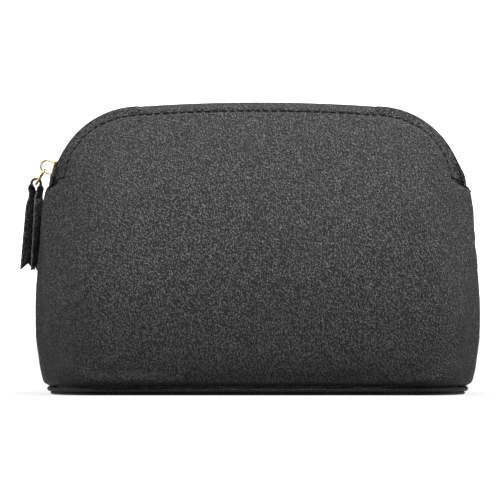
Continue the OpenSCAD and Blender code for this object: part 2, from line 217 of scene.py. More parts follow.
def closed_sheet(name, outer, inner, edge_rows=0, flip=False):
    """Closed sheet between an outer and an inner grid [rows, columns, 3]; edge_rows round its last row."""
    cols = outer.shape[1]
    bands = [outer]
    if edge_rows:
        middle, half = (outer[-1] + inner[-1]) / 2, (outer[-1] - inner[-1]) / 2
        up = unit(outer[-1] - outer[-2]) * np.linalg.norm(half, axis=-1, keepdims=True)
        for a in np.linspace(0, math.pi, edge_rows + 1)[1:-1]:
            bands.append((middle + half * math.cos(a) + up * math.sin(a))[None])
    loop = np.concatenate(bands + [inner[::-1]])
    n = len(loop)
    faces = []
    for i in range(n):
        low, high = i * cols, (i + 1) % n * cols
        faces += [(low + j, low + j + 1, high + j + 1, high + j) for j in range(cols - 1)]
    for i in range((n - 1) // 2):
        corners = list(dict.fromkeys((i, i + 1, n - 2 - i, n - 1 - i)))
        faces.append(tuple(c * cols for c in corners))
        faces.append(tuple(c * cols + cols - 1 for c in corners[::-1]))
    obj = make_object(name, loop, faces)
    across = np.linalg.norm(np.diff(loop, axis=1), axis=-1).mean(0)
    along = np.linalg.norm(np.diff(loop, axis=0), axis=-1).mean(1)
    put_uv(obj, np.stack(np.meshgrid(np.r_[0, np.cumsum(across)], np.r_[0, np.cumsum(along)]), -1))
    if flip:
        obj.data.flip_normals()
    return obj


def tube(path, radius, sides, up, closed=False):
    """Rings of points round a path."""
    path = np.asarray(path, float)
    ahead = np.roll(path, -1, 0) - np.roll(path, 1, 0) if closed else np.gradient(path, axis=0)
    ahead = unit(ahead)
    side = unit(np.cross(ahead, np.asarray(up, float)))
    other = np.cross(ahead, side)
    a = np.linspace(0, 2 * math.pi, sides, endpoint=False)[:, None]
    radius = np.broadcast_to(np.asarray(radius, float), len(path))[:, None, None]
    return path[:, None] + radius * (np.cos(a) * side[:, None] + np.sin(a) * other[:, None])


class Skins:
    """Collects several skins of rings into one mesh."""

    def __init__(self):
        self.points, self.faces = [], []

    def add(self, rings, closed=False, flip=False):
        faces = ring_faces(rings.shape[0], rings.shape[1], len(self.points), closed)
        self.faces += [f[::-1] for f in faces] if flip else faces
        self.points += rings.reshape(-1, 3).tolist()

    def build(self, name):
        return make_object(name, self.points, self.faces)


def rounded(width, length, corner, count=6):
    """Outline of a rounded rectangle about the origin, anticlockwise, as [points, 2]."""
    a = np.linspace(0, math.pi / 2, count)
    points = []
    for k, (sx, sy) in enumerate(((1, 1), (-1, 1), (-1, -1), (1, -1))):
        turn = a + k * math.pi / 2
        middle = np.array([sx * (length / 2 - corner), sy * (width / 2 - corner)])
        points.append(middle + corner * np.stack([np.cos(turn), np.sin(turn)], -1))
    return np.concatenate(points)


def zip_block(skins, s, y, n_low, n_high, length, width, corner, bevel=0.2, flip=False):
    """Block with bevelled edges that follows the zip's curve, centred at s and y."""
    outline = rounded(width, length, corner)
    small = 1 - 2 * bevel / min(width, length)
    rings = []
    levels = [(n_low, 0.05), (n_low, 0.5 * small), (n_low, small), (n_low + bevel, 1.0),
              (n_high - bevel, 1.0), (n_high, small), (n_high, 0.5 * small), (n_high, 0.05)]
    for n, share in levels:
        shrink = outline * share if share < 0.6 * small else outline - np.sign(outline) * bevel * (share < 1)
        rings.append(zip_point(s + shrink[:, 0], y + shrink[:, 1], n))
    skins.add(np.array(rings), flip=flip)


def mirrored(points):
    return points * np.array([1, -1, 1])


# ---------------------------------------------------------------- materials
class Nodes:
    """A material's node tree, with short calls for the nodes used here."""

    INPUTS = {"color": "Base Color", "rough": "Roughness", "metal": "Metallic", "normal": "Normal",
              "specular": "Specular IOR Level", "sheen": "Sheen Weight", "sheen_rough": "Sheen Roughness"}

    def __init__(self, name):
        self.material = bpy.data.materials.new(name)
        self.material.use_nodes = True
        self.tree = self.material.node_tree

    def new(self, kind, inputs=None, **settings):
        node = self.tree.nodes.new(kind)
        for key, value in settings.items():
            setattr(node, key, value)
        for key, value in (inputs or {}).items():
            self.put(node.inputs[key], value)
        return node

    def put(self, socket, value):
        if isinstance(value, bpy.types.NodeSocket):
            self.tree.links.new(value, socket)
        elif socket.type == "RGBA":
            socket.default_value = (*value, 1)
        else:
            socket.default_value = value

    def shade(self, **values):
        shader = self.tree.nodes["Principled BSDF"]
        for key, value in values.items():
            self.put(shader.inputs[self.INPUTS[key]], value)
        return self.material

    def place(self, scale=(1, 1, 1)):
        coords = self.new("ShaderNodeTexCoord")
        return self.new("ShaderNodeMapping", {"Vector": coords.outputs["Object"], "Scale": scale}).outputs[0]

    def along(self, pitch):
        coords = self.new("ShaderNodeUVMap", uv_map="along")
        scale = (1 / pitch, 1 / pitch, 1)
        mapped = self.new("ShaderNodeMapping", {"Vector": coords.outputs["UV"], "Scale": scale})
        return self.new("ShaderNodeSeparateXYZ", {"Vector": mapped.outputs[0]}).outputs

    def noise(self, vector, scale, detail=3.0):
        values = {"Vector": vector, "Scale": scale, "Detail": detail}
        return self.new("ShaderNodeTexNoise", values).outputs["Fac"]

    def ramp(self, value, low, high, to_low=0.0, to_high=1.0):
        values = {"Value": value, "From Min": low, "From Max": high, "To Min": to_low, "To Max": to_high}
        return self.new("ShaderNodeMapRange", values).outputs["Result"]

    def math(self, what, a, b=0.5):
        return self.new("ShaderNodeMath", {0: a, 1: b}, operation=what).outputs[0]

    def mix(self, factor, a, b):
        return self.new("ShaderNodeMix", {0: factor, 6: a, 7: b}, data_type="RGBA").outputs[2]

    def bump(self, height, strength, distance):
        values = {"Height": height, "Strength": strength, "Distance": distance}
        return self.new("ShaderNodeBump", values).outputs["Normal"]


# Painted highlights on the grain tops grow fainter between these heights, in metres, down to the base; the
# grain itself stays the same.
GLINTS_FAINT_BELOW, GLINTS_FULL_ABOVE = 0.006, 0.06
# How much brighter than the top colour the painted highlights on the grain tops are.
GLINT_GAIN = 4.2


def leather(name, crease_shade, top, grain, depth, rough_top, rough_crease):
    """Pebbled leather: rounded grains of uneven size with fine pores. Its colour has painted shade and light:
    the crease colour is painted shade between the grains, the top colour is their lit tops, and bright painted
    glints sit on the tops.
    """
    m = Nodes(name)
    where = m.place((1.0, 1.0, 0.64))
    level = m.new("ShaderNodeSeparateXYZ", {"Vector": m.place()}).outputs["Z"]
    warp = m.new("ShaderNodeTexNoise", {"Vector": where, "Scale": grain * 0.5, "Detail": 2.0})
    values = {0: 0.0016, 4: where, 5: warp.outputs["Color"]}
    bent = m.new("ShaderNodeMix", values, data_type="VECTOR").outputs[1]
    values = {"Vector": bent, "Scale": grain, "Smoothness": 0.35}
    cells = m.new("ShaderNodeTexVoronoi", values, feature="SMOOTH_F1")
    pebble = m.ramp(cells.outputs["Distance"], 0.12, 0.62, 1.0, 0.0)
    folds = m.noise(m.place((1.0, 1.0, 0.5)), grain * 0.45)
    pores = m.noise(where, grain * 4.5, 2.0)
    height = m.math("ADD", pebble, m.math("MULTIPLY", pores, 0.3))
    height = m.math("ADD", height, m.math("MULTIPLY", folds, 1.3))
    # Painted shade and light: dark in the creases between the grains, lighter on their tops.
    tone = m.mix(m.ramp(pebble, 0.1, 0.8), crease_shade, top)
    # Painted highlights: bright glints on the grain tops, patchy with the folds and fainter towards the base.
    painted_glint = m.ramp(m.math("MULTIPLY", pebble, m.ramp(folds, 0.1, 0.5)), 0.45, 0.85)
    painted_glint = m.math("MULTIPLY", painted_glint, m.ramp(level, GLINTS_FAINT_BELOW, GLINTS_FULL_ABOVE, 0.3, 1.0))
    tone = m.mix(painted_glint, tone, tuple(GLINT_GAIN * c for c in top))
    return m.shade(color=tone, rough=m.ramp(pebble, 0.2, 1.0, rough_crease, rough_top), specular=0.2,
                   normal=m.bump(height, 1.0, depth))


def weave(name, dark, light, pitch, rough, zigzag=0.0):
    """Woven cloth whose threads follow the piece; zigzag turns its plain weave into a herringbone."""
    m = Nodes(name)
    x, y, _ = m.along(pitch)
    shifted = m.math("ADD", x, m.math("MULTIPLY", m.math("PINGPONG", y, 4.0), zigzag))
    warp = m.math("SINE", m.math("MULTIPLY", shifted, 2 * math.pi))
    weft = m.math("SINE", m.math("MULTIPLY", y, 2 * math.pi))
    threads = m.ramp(m.math("MULTIPLY", warp, weft), -1.0, 1.0)
    height = m.math("ADD", threads, m.math("MULTIPLY", m.noise(m.place(), 2600.0, 2.0), 0.4))
    return m.shade(color=m.mix(threads, dark, light), rough=rough, sheen=0.25, sheen_rough=0.4,
                   normal=m.bump(height, 0.6, pitch * 0.25))


def plated(name, color, rough):
    """Polished plated metal, a little smudged and rubbed."""
    m = Nodes(name)
    smudge = m.noise(m.place(), 220.0)
    rubbed = m.noise(m.place((1, 1, 0.15)), 5200.0, 2.0)
    return m.shade(color=m.mix(m.ramp(smudge, 0.35, 0.7), color, tuple(0.8 * c for c in color)), metal=1.0,
                   rough=m.ramp(smudge, 0.3, 0.75, rough, rough + 0.15), normal=m.bump(rubbed, 0.15, 0.00003))


def thread(name, color):
    """Twisted sewing thread."""
    m = Nodes(name)
    values = {"Vector": m.place(), "Scale": 1700.0, "Distortion": 1.0, "Detail": 1.0}
    strands = m.new("ShaderNodeTexWave", values, bands_direction="DIAGONAL").outputs["Fac"]
    return m.shade(color=m.mix(strands, color, tuple(2.4 * c for c in color)), rough=0.8, specular=0.1,
                   normal=m.bump(strands, 0.5, 0.00006))


def foam(name, color):
    """Open-cell padding."""
    m = Nodes(name)
    cells = m.new("ShaderNodeTexVoronoi", {"Vector": m.place(), "Scale": 1400.0}).outputs["Distance"]
    return m.shade(color=m.mix(m.ramp(cells, 0.1, 0.6), tuple(0.7 * c for c in color), color), rough=0.95,
                   normal=m.bump(cells, 0.5, 0.0002))


def fibre_board(name, color):
    """Pressed board with short fibres and dark flecks."""
    m = Nodes(name)
    fibres = m.noise(m.place((1, 0.12, 1)), 1600.0, 4.0)
    tone = m.mix(fibres, tuple(0.7 * c for c in color), color)
    flecks = m.ramp(m.noise(m.place(), 900.0, 2.0), 0.62, 0.7)
    return m.shade(color=m.mix(flecks, tone, tuple(0.5 * c for c in color)), rough=0.9,
                   normal=m.bump(fibres, 0.3, 0.0001))


MATERIALS = {
    # Each leather's first two colours are the painted shade in its creases and the lit colour of its grain
    # tops.
    "outer_leather": leather("black_pebbled_leather", (0.0010, 0.0010, 0.0012), (0.020, 0.019, 0.021),
                             1500.0, 0.0006, 0.34, 0.65),
    "pull_leather": leather("black_pull_leather", (0.016, 0.016, 0.017), (0.038, 0.038, 0.040),
                            1250.0, 0.00012, 0.4, 0.55),
    "foam": foam("padding_foam", (0.72, 0.72, 0.69)),
    "lining": weave("lining_cloth", (0.016, 0.016, 0.018), (0.050, 0.050, 0.055), 0.0006, 0.55),
    "board": fibre_board("base_board_fibre", (0.42, 0.32, 0.21)),
    "zip_tape": weave("zip_tape_weave", (0.006, 0.006, 0.007), (0.024, 0.024, 0.026), 0.0007, 0.85, 1.0),
    "zip_metal": plated("zip_gold", (0.40, 0.29, 0.11), 0.28),
    "slider_metal": plated("slider_gold", (0.34, 0.22, 0.06), 0.24),
    "thread": thread("black_thread", (0.0015, 0.0015, 0.0017)),
}


def finish_piece(obj, body, slot, *nodes):
    """Gives a piece its material, sets it on its body and hides the CAD nodes that it stands for."""
    obj.data.materials.append(MATERIALS[slot])
    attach(obj, body)
    if nodes:
        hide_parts(*nodes)
    return obj


# ---------------------------------------------------------------- stitch line inside the leather edge
STITCH_INSET = 3.9
STITCH_PITCH = 4.2
STITCH_LEN = 2.8
TOPSTITCH_R = 0.36
STITCH_END = ARCH_LEN - 5.0
STITCHES = int(2 * STITCH_END / STITCH_PITCH)


def stitch_uv(s):
    """u and t of the surface points that lie STITCH_INSET inside the arch, by Newton's method."""
    x, z, tilt = arch_at(s)
    goal = np.stack([x - STITCH_INSET * np.sin(tilt), z - STITCH_INSET * np.cos(tilt)], -1)
    u, t = s / ARCH_LEN, np.full_like(s, 0.95)
    step = 1e-4
    for _ in range(40):
        here = body_at(u, t)[..., ::2]
        du = (body_at(np.clip(u + step, -1, 1), t)[..., ::2] - here) / step
        dt = (here - body_at(u, t - step)[..., ::2]) / step
        miss = goal - here
        size = du[..., 0] * dt[..., 1] - du[..., 1] * dt[..., 0]
        size = np.where(np.abs(size) < 1e-6, 1e-6, size)
        move_u = (miss[..., 0] * dt[..., 1] - miss[..., 1] * dt[..., 0]) / size
        move_t = (du[..., 0] * miss[..., 1] - du[..., 1] * miss[..., 0]) / size
        u = np.clip(u + np.clip(move_u, -0.03, 0.03), -0.999, 0.999)
        t = np.clip(t + np.clip(move_t, -0.02, 0.02), 0.5, 0.999)
    return u, t


stitch_s = np.linspace(-STITCH_END, STITCH_END, 16 * STITCHES + 1)
stitch_u, stitch_t = stitch_uv(stitch_s)
stitch_line = body_at(stitch_u, stitch_t)


GROOVE, GROOVE_W = 0.75, 0.8
PRESSED, PRESSED_W = 0.35, 0.9
PUFF, PUFF_START, PUFF_W = 0.5, 2.5, 15.0
SIDE_SEAM, SIDE_SEAM_W = 1.1, 1.6
BASE_SEAM, BASE_SEAM_W = 0.7, 1.1


def soft_lines(u, t):
    """How far the leather stands out or sinks in beside its seams and stitches."""
    points = body_at(u, t)
    near, index = np.full(u.shape, 1e9), np.zeros(u.shape, int)
    for k, place in enumerate(stitch_line):
        gap = np.linalg.norm(points - place, axis=-1)
        closer = gap < near
        near[closer], index[closer] = gap[closer], k
    inside = t < stitch_t[index]
    groove = -GROOVE * np.exp(-(near / GROOVE_W) ** 2)
    pressed = np.where(inside, 0.0, -PRESSED * (1 - np.exp(-(near / PRESSED_W) ** 2)))
    puff = np.where(inside, PUFF * (1 - np.exp(-near / PUFF_START)) * np.exp(-(near / PUFF_W) ** 2), 0.0)
    from_side = np.linalg.norm(points - body_at(np.where(u < 0, -1.0, 1.0), t), axis=-1)
    side_seam = -SIDE_SEAM * np.exp(-(from_side / SIDE_SEAM_W) ** 2) * (1 - t ** 40)
    base_seam = -BASE_SEAM * np.exp(-((points[..., 2] - SEAM_Z) / BASE_SEAM_W) ** 2)
    return groove + pressed + puff + side_seam + base_seam


# ---------------------------------------------------------------- cloth simulation of the panels
SIM_ROWS, SIM_COLS = 44, 84
SIM_FRAMES = 20
SIM_CAP = 1.6


def simulate_panel():
    """A panel sewn down round its edges that sags under its weight; the pressure inside it has little effect.

    Most of it sags inward by far more than SIM_CAP, so the cap sets most of the result.
    Returns how far each point of a coarse (t, u) grid moves along the surface normal."""
    u, t = np.meshgrid(np.linspace(-1, 1, SIM_COLS), np.linspace(0, 1, SIM_ROWS))
    points = body_at(u, t)
    cells = [(i * SIM_COLS + j, i * SIM_COLS + j + 1, (i + 1) * SIM_COLS + j + 1, (i + 1) * SIM_COLS + j)
             for i in range(SIM_ROWS - 1) for j in range(SIM_COLS - 1)]
    obj = make_object("cloth_panel", points, cells)
    sewn = obj.vertex_groups.new(name="sewn")
    held = (np.abs(u) > 0.985) | (t < 0.012) | (t > 0.955)
    for k, pinned in enumerate(held.ravel()):
        sewn.add([k], 1.0 if pinned else 0.02, "REPLACE")
    cloth = obj.modifiers.new("Cloth", "CLOTH").settings
    cloth.quality = 8
    cloth.mass = 0.05
    cloth.vertex_group_mass = "sewn"
    cloth.tension_stiffness = cloth.compression_stiffness = 25
    cloth.shear_stiffness = 10
    cloth.bending_stiffness = 2
    cloth.shrink_min = -0.015
    cloth.use_pressure = True
    cloth.uniform_pressure_force = 1.5
    for number in range(1, SIM_FRAMES + 1):
        bpy.context.scene.frame_set(number)
    moved = np.zeros(points.size)
    settled = obj.evaluated_get(bpy.context.evaluated_depsgraph_get())
    settled.data.vertices.foreach_get("co", moved)
    bpy.context.scene.frame_set(1)
    bpy.data.objects.remove(obj)
    out = ((moved.reshape(points.shape) / MM - points) * body_normal(u, t)).sum(-1)
    print("cloth moved, mm:", out.min().round(2), out.max().round(2), out.std().round(2))
    return SIM_CAP * np.tanh(out / SIM_CAP)


def spline_at(grid, u, t):
    """Value of a coarse (t, u) grid at any u and t, by a smooth cubic spline."""
    def terms(at, count):
        k = np.clip(at.astype(int), 0, count - 2)
        f = at - k
        weights = ((1 - f) ** 3, 3 * f ** 3 - 6 * f ** 2 + 4, -3 * f ** 3 + 3 * f ** 2 + 3 * f + 1, f ** 3)
        return [(np.clip(k + step - 1, 0, count - 1), w / 6) for step, w in enumerate(weights)]
    rows = terms(t * (grid.shape[0] - 1), grid.shape[0])
    cols = terms((u + 1) / 2 * (grid.shape[1] - 1), grid.shape[1])
    return sum(grid[i, j] * a * b for i, a in rows for j, b in cols)


cloth_out = simulate_panel()


def softness(u, t, back):
    """Cloth movement and slow unevenness of one panel; the back panel's are mirrored and differ a little."""
    side = -1 if back else 1
    phases = np.random.default_rng(7 if back else 3).uniform(0, 2 * math.pi, 5)
    waves = zip(((2.1, 1.3), (3.7, 2.2), (5.3, 0.8), (1.2, 3.4), (7.9, 2.7)), phases)
    sway = sum(np.sin(a * math.pi * u + p) * np.cos(b * math.pi * t + p) for (a, b), p in waves)
    return spline_at(cloth_out, side * u, t) + 0.14 * sway * np.sin(math.pi * t) * (1 - np.abs(u) ** 6)


def half_grid(u, t, depth, back, extra=0.0):
    """Points of the front or back half at a depth below the leather's outside."""
    out = softness(u, t, back) + extra - depth
    points = body_at(u, t) + out[..., None] * body_normal(u, t)
    points[..., 1] = np.minimum(points[..., 1], -SEAM_GAP)
    return mirrored(points) if back else points


HALVES = (("front", False), ("back", True))

# ---------------------------------------------------------------- leather panels and topstitching
# Rows lie closer together near the base seam and the leather edge.
DENSE_LOW, DENSE_HIGH = 0.06, 0.9
panel_rows = np.r_[np.linspace(0, DENSE_LOW, 12)[:-1], np.linspace(DENSE_LOW, DENSE_HIGH, 76)[:-1],
                   np.linspace(DENSE_HIGH, 1, 34)]
panel_u, panel_t = np.meshgrid(np.linspace(-1, 1, 281), panel_rows)
panel_soft = soft_lines(panel_u, panel_t)
for half, back in HALVES:
    outer, inner = (half_grid(panel_u, panel_t, depth, back, panel_soft) for depth in (0.0, LEATHER_T))
    obj = closed_sheet(f"{half}_leather", outer, inner, edge_rows=6, flip=back)
    finish_piece(obj, "bag", "outer_leather", f"{half}_panel")

for half, back in HALVES:
    skins = Skins()
    f = np.linspace(-1, 1, 9)
    for middle in (np.arange(STITCHES) + 0.5) * 2 * STITCH_END / STITCHES - STITCH_END:
        s = middle + f * STITCH_LEN / 2
        u, t = np.interp(s, stitch_s, stitch_u), np.interp(s, stitch_s, stitch_t)
        lift = -0.66 + 0.5 * (1 - np.abs(f) ** 4) - 0.5 * (np.abs(f) > 0.99)
        path = half_grid(u, t, -lift, back)
        skins.add(tube(path, TOPSTITCH_R * (1 - 0.3 * f ** 4), 8, (0, 1, 0)))
    finish_piece(skins.build(f"{half}_topstitch"), "bag", "thread")

# ---------------------------------------------------------------- padding, lining, pocket and bindings
LAYER_LOW = 0.03
LAYER_TOP = 0.93
END_ZONE, END_FADE = 0.85, 0.08
END_TOP = 0.88


def layer_grid(u, share, low=LAYER_LOW, top=LAYER_TOP):
    """u and t of a layer that stays lower near the zip's ends, where share runs from 0 to 1 up the layer."""
    end = ease((np.abs(u) - END_ZONE + END_FADE) / END_FADE)
    return np.meshgrid(u, share)[0], low + share[:, None] * (top - (top - END_TOP) * end - low)


for half, back in HALVES:
    u, t = layer_grid(np.linspace(-1, 1, 121), np.linspace(0, 1, 48))
    hem = 0.35 * np.exp(-((t - LAYER_LOW) / 0.02) ** 2)
    outer, inner = half_grid(u, t, FOAM_DEPTH, back, -hem), half_grid(u, t, FOAM_DEPTH + FOAM_T, back, hem)
    obj = closed_sheet(f"{half}_padding", outer, inner, edge_rows=6, flip=back)
    finish_piece(obj, "bag", "foam", f"{half}_foam")

    drape = 0.28 * (np.sin(23 * u + 3 * t) * np.sin(9 * t) - 1) * np.sin(math.pi * t)
    outer, inner = (half_grid(u, t, LINING_DEPTH + d, back, drape * 0.4) for d in (0.0, LINING_T))
    obj = closed_sheet(f"{half}_lining_cloth", outer, inner, edge_rows=4, flip=back)
    finish_piece(obj, "bag", "lining", f"{half}_lining")

POCKET_U = 1 / 3
POCKET_LOW, POCKET_HIGH = 0.12, 0.6
u, t = np.meshgrid(np.linspace(-POCKET_U, POCKET_U, 61), np.linspace(POCKET_LOW, POCKET_HIGH, 50))
rise = (t - POCKET_LOW) / (POCKET_HIGH - POCKET_LOW)
sag = 0.35 + 1.6 * rise ** 3 * np.cos(math.pi / 2 * u / POCKET_U) + 0.3 * (rise > 0.93)
outer, inner = (half_grid(u, t, INSIDE_DEPTH + d, True, -sag) for d in (0.0, LINING_T))
pocket = closed_sheet("pocket_cloth", outer, inner, edge_rows=4, flip=True)
finish_piece(pocket, "bag", "lining", "slip_pocket")

BINDING_U = 0.925
for name, side in (("left", -1), ("right", 1)):
    half_turn = np.linspace(-1, 1, 33)
    u, t = np.meshgrid(1 - (1 - BINDING_U) * np.abs(half_turn), np.linspace(0.035, END_TOP - 0.01, 70))
    grids = []
    for depth in (INSIDE_DEPTH, INSIDE_DEPTH + LINING_T):
        grid = half_grid(u, t, depth, False, -0.3 - 0.12 * np.sin(40 * t))
        grid[..., 0] *= side
        grid[..., 1] *= -np.sign(half_turn)
        grids.append(grid)
    outer, inner = grids
    obj = closed_sheet(f"{name}_seam_binding", outer, inner, flip=side < 0)
    finish_piece(obj, "bag", "lining", f"side_binding_{name}")

# ---------------------------------------------------------------- base
PANEL_T, PANEL_INSET = 1.6, 1.6
BOARD_T, BOARD_INSET = 1.4, 4.6
BASE_LINING_INSET = 5.4
WELT_R = 1.1
WELT_Z = PANEL_T + 0.1 + WELT_R


def base_outline(inset):
    """Closed base outline, inside the seam by inset, with an even step, and its outward directions."""
    u = np.linspace(-1, 1, 241)
    x, y, out_x, out_y = base_at(u)
    front = np.stack([x - inset * out_x, y - inset * out_y], -1)
    back = (front * np.array([1, -1]))[::-1]
    out = np.stack([out_x, out_y], -1)
    out_back = (out * np.array([1, -1]))[::-1]
    return np.concatenate([front[:-1], back[:-1]]), np.concatenate([out[:-1], out_back[:-1]])


def base_slab(name, levels):
    """Piece with the base's outline. Its (inset, z) levels run from the middle below to the middle above."""
    rings = []
    for inset, z in levels:
        line = base_outline(min(inset, CORNER_R - 1))[0]
        rings.append(np.column_stack([line, np.full(len(line), z)]))
    skins = Skins()
    skins.add(np.array(rings))
    return skins.build(name)


MIDDLE_INSET = 20
base = base_slab("base_leather", [
    (MIDDLE_INSET, 0.0), (12, 0.0), (4, 0.0), (PANEL_INSET + 0.9, 0.03), (PANEL_INSET + 0.3, 0.25),
    (PANEL_INSET, 0.7), (PANEL_INSET + 0.1, 1.2), (PANEL_INSET + 0.6, 1.5),
    (PANEL_INSET + 1.4, PANEL_T), (12, PANEL_T), (MIDDLE_INSET, PANEL_T)])
finish_piece(base, "bag", "outer_leather", "base_panel")

board_low = PANEL_T + 0.1
board_high = board_low + BOARD_T
board = base_slab("base_board_sheet", [
    (MIDDLE_INSET, board_low), (BOARD_INSET + 0.2, board_low), (BOARD_INSET, board_low + 0.2),
    (BOARD_INSET, board_high - 0.2), (BOARD_INSET + 0.2, board_high), (MIDDLE_INSET, board_high)])
finish_piece(board, "bag", "board", "base_board")

# The welt's section is a round bead with a flange that is sewn in between the layers.
line, out = base_outline(0)
a = np.radians(np.linspace(-150, 150, 15))
section = np.concatenate([np.stack([WELT_R * np.cos(a) - WELT_R, WELT_R * np.sin(a)], -1),
                          [[-3.3, 0.4], [-3.3, -0.4]]])
turn = np.linspace(0, 2 * math.pi, len(line), endpoint=False)
wobble = 0.10 * np.sin(23 * turn) * np.sin(5 * turn + 1) + 0.06 * np.sin(61 * turn + 2)
rings = np.empty((len(line), len(section), 3))
rings[..., :2] = line[:, None] + out[:, None] * (section[:, 0][None, :, None] + wobble[:, None, None])
rings[..., 2] = WELT_Z + section[:, 1][None] + 0.8 * wobble[:, None]
skins = Skins()
skins.add(rings, closed=True)
finish_piece(skins.build("base_welt_bead"), "bag", "outer_leather", "base_welt")

# The lining of the base is a grid that is bent from a square to the base's outline.
g = np.linspace(-1, 1, 61)
gx, gy = np.meshgrid(g, g)
half_w, half_d = BASE_W / 2 - BASE_LINING_INSET, BASE_D / 2 - BASE_LINING_INSET
reach = np.maximum(np.abs(gx), np.abs(gy))
line, out = base_outline(BASE_LINING_INSET)
around = np.unwrap(np.arctan2(line[:, 1] / half_d, line[:, 0] / half_w))
order = np.argsort(around)
angle = np.arctan2(gy, gx)
lowest = around.min()
angle = (angle - lowest) % (2 * math.pi) + lowest
x = reach * np.interp(angle, around[order], line[order, 0], period=2 * math.pi)
y = reach * np.interp(angle, around[order], line[order, 1], period=2 * math.pi)
lift = board_high + 0.2 + 0.25 * (1 + np.sin(0.11 * x + 0.3 * y) * np.sin(0.05 * x - 1)) * (1 - reach ** 8)
low, high = (np.stack([x, y, lift + d], -1) for d in (0.0, LINING_T))
floor_cloth = closed_sheet("base_lining_cloth", low, high, flip=True)
finish_piece(floor_cloth, "bag", "lining", "base_lining")

# ---------------------------------------------------------------- zip
TOOTH_PITCH, TOOTH_H = 2.6, 2.2
TOOTH_MID = -0.2 - TOOTH_H / 2
HEAD_Y, HEEL_Y = 0.35, 2.9
TAPE_T = 0.5
SEWN_DEPTH = LEATHER_T + 0.45 + TAPE_T / 2
SEWN_PRESSED = 0.3
TURN_DOWN_U, TURN_DOWN_Y = 0.78, 4.2
TURN_DOWN_REACH = 2.9
TAPE_END_U = 0.975
HOOK_ALONG, HOOK_UP = 1.1, 5.2

hook, hang = joint_place("ring_swing"), joint_place("pull_swing")
slider_angle = (math.atan2(hook[2] - SHOULDER_Z, -SHOULDER_X - hook[0])
                + math.atan2(HOOK_ALONG, SHOULDER_R + HOOK_UP))


def left_s(angle):
    """Arc length of the point on the left shoulder at this angle above its centre's level."""
    return -(CROWN_LEN + (math.pi / 2 - angle - CROWN_ANGLE) * SHOULDER_R)


slider_s = left_s(slider_angle)
teeth_start = left_s(slider_angle - math.radians(6))
teeth_end = ARCH_LEN - 3.6

# Each tape is sewn under the leather, comes out along its edge and ends in a bead that holds the teeth.
tape_u = np.linspace(-TAPE_END_U, TAPE_END_U, 241)
turn_down = ease((np.abs(tape_u) - TURN_DOWN_U) / 0.1)[:, None]
s = arch_s(tape_u)
for half, back in HALVES:
    grids = []
    for n in (TAPE_T / 2, -TAPE_T / 2):
        rows = []
        for k, t in enumerate((0.94, 0.95, 0.96, 0.975)):
            t = np.full(tape_u.shape, t)
            under = half_grid(tape_u, t, SEWN_DEPTH - n, False, -SEWN_PRESSED)
            side = zip_point(s, -(TURN_DOWN_Y + n), TOOTH_MID - TURN_DOWN_REACH + 0.3 * (3 * k + 1) / 2.5)
            rows.append((1 - turn_down) * under + turn_down * side)
        rows.append(zip_point(s, -(EDGE_GAP - 0.8), TOOTH_MID - 0.2 + n))
        rows.append(zip_point(s, -(HEEL_Y + 0.6), TOOTH_MID - 0.05 + n))
        rows.append(zip_point(s, -(HEEL_Y + 0.25), TOOTH_MID + 1.5 * n))
        rows.append(zip_point(s, -(HEEL_Y + 0.05), TOOTH_MID + 1.0 * n))
        grids.append(np.array(rows))
    outer, inner = (mirrored(g) for g in grids) if back else grids
    obj = closed_sheet(f"{half}_tape", outer, inner, flip=back)
    finish_piece(obj, "bag", "zip_tape", f"{half}_zip_tape")

# A tooth tapers from the jaws that grip the tape to its round head.
# Each section is its distance from the zip's middle, half its length and half its height.
TOOTH_SECTIONS = ((HEEL_Y, 0.36, 0.7), (2.8, 0.48, 1.0), (2.0, 0.52, 1.1), (1.3, 0.50, 1.05),
                  (0.95, 0.38, 0.85), (0.6, 0.44, 0.85), (0.42, 0.38, 0.65), (HEAD_Y, 0.2, 0.35))
for half, side in (("front", -1), ("back", 1)):
    skins = Skins()
    for s in np.arange(teeth_start + (TOOTH_PITCH / 2 if side > 0 else 0), teeth_end, TOOTH_PITCH):
        rings = []
        for y, half_len, half_h in TOOTH_SECTIONS:
            outline = rounded(2 * half_h, 2 * half_len, 0.45 * min(half_len, half_h), 3)
            rings.append(zip_point(s + outline[:, 0], side * y, TOOTH_MID + outline[:, 1]))
        skins.add(np.array(rings), flip=side < 0)
    finish_piece(skins.build(f"{half}_teeth"), "bag", "zip_metal", f"{half}_zip_teeth")


STOP_LEN = 1.6
skins = Skins()
for y in (-1.625, 1.625):
    zip_block(skins, teeth_start - STOP_LEN, y, TOOTH_MID - 0.9, TOOTH_MID + 0.9, STOP_LEN, 2.55, 0.4)
finish_piece(skins.build("top_stops"), "bag", "zip_metal", "zip_top_stops")
skins = Skins()
zip_block(skins, teeth_end + 1.9, 0, TOOTH_MID - 1, TOOTH_MID + 1, STOP_LEN, 2 * HEEL_Y, 0.4)
finish_piece(skins.build("bottom_stop"), "bag", "zip_metal", "zip_bottom_stop")

# ---------------------------------------------------------------- folded leather tabs over the zip's ends
TAB_HALF, TAB_T, TAB_LOW = 1.8, 1.4, 0.1


